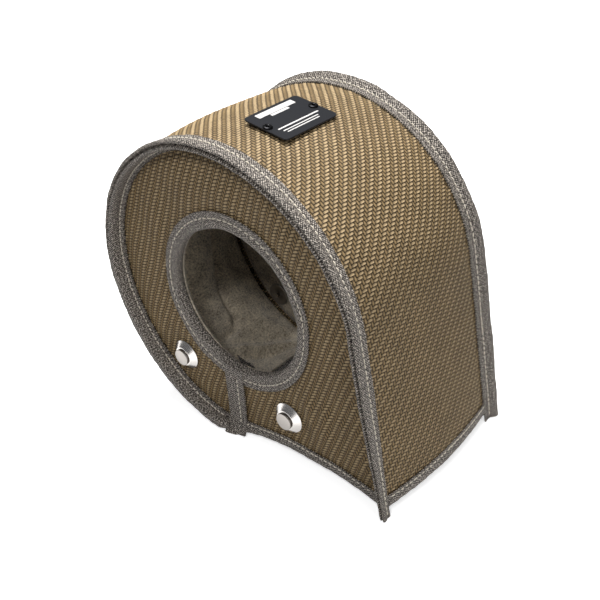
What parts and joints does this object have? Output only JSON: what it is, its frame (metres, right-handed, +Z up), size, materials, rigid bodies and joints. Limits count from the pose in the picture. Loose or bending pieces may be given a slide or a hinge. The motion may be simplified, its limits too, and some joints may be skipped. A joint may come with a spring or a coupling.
{
  "type": "turbo heat blanket",
  "caption": "Quilted insulating wrap for a turbine housing: round twill body drawn to a tip, tape-bound seams, side openings with slits, open underside, lacing anchors.",
  "frame": {"origin": "on the surface that the blanket stands on, under the middle of its bounding box", "axes": "+X towards the pointed side, +Y from the front panel to the back panel, +Z up"},
  "size_m": [0.204, 0.1126, 0.1877],
  "materials": {
    "cover_cloth": "woven",
    "fill_wool": "matt",
    "liner_fleece": "matt",
    "binding_tape": "matt",
    "stainless_steel": "satin",
    "anodised_tag": "satin"
  },
  "bodies": {
    "root": {"front_cover": "cover_cloth", "front_insulation": "fill_wool", "front_liner": "liner_fleece", "front_lip_binding": "binding_tape", "front_opening_binding": "binding_tape", "front_slit_binding_over": "binding_tape", "front_slit_binding_under": "binding_tape", "front_hem_binding": "binding_tape", "front_left_anchor_post": "stainless_steel", "front_left_anchor_washer": "stainless_steel", "front_right_anchor_post": "stainless_steel", "front_right_anchor_washer": "stainless_steel", "back_cover": "cover_cloth", "back_insulation": "fill_wool", "back_liner": "liner_fleece", "back_lip_binding": "binding_tape", "back_opening_binding": "binding_tape", "back_slit_binding_over": "binding_tape", "back_slit_binding_under": "binding_tape", "back_hem_binding": "binding_tape", "back_left_anchor_post": "stainless_steel", "back_left_anchor_washer": "stainless_steel", "back_right_anchor_post": "stainless_steel", "back_right_anchor_washer": "stainless_steel", "band_cover": "cover_cloth", "band_insulation": "fill_wool", "band_liner": "liner_fleece", "band_slit_end_binding": "binding_tape", "band_tip_end_binding": "binding_tape", "tag_plate": "anodised_tag", "tag_front_rivet": "anodised_tag", "tag_front_washer": "stainless_steel", "tag_back_rivet": "anodised_tag", "tag_back_washer": "stainless_steel"}
  },
  "joints": []
}
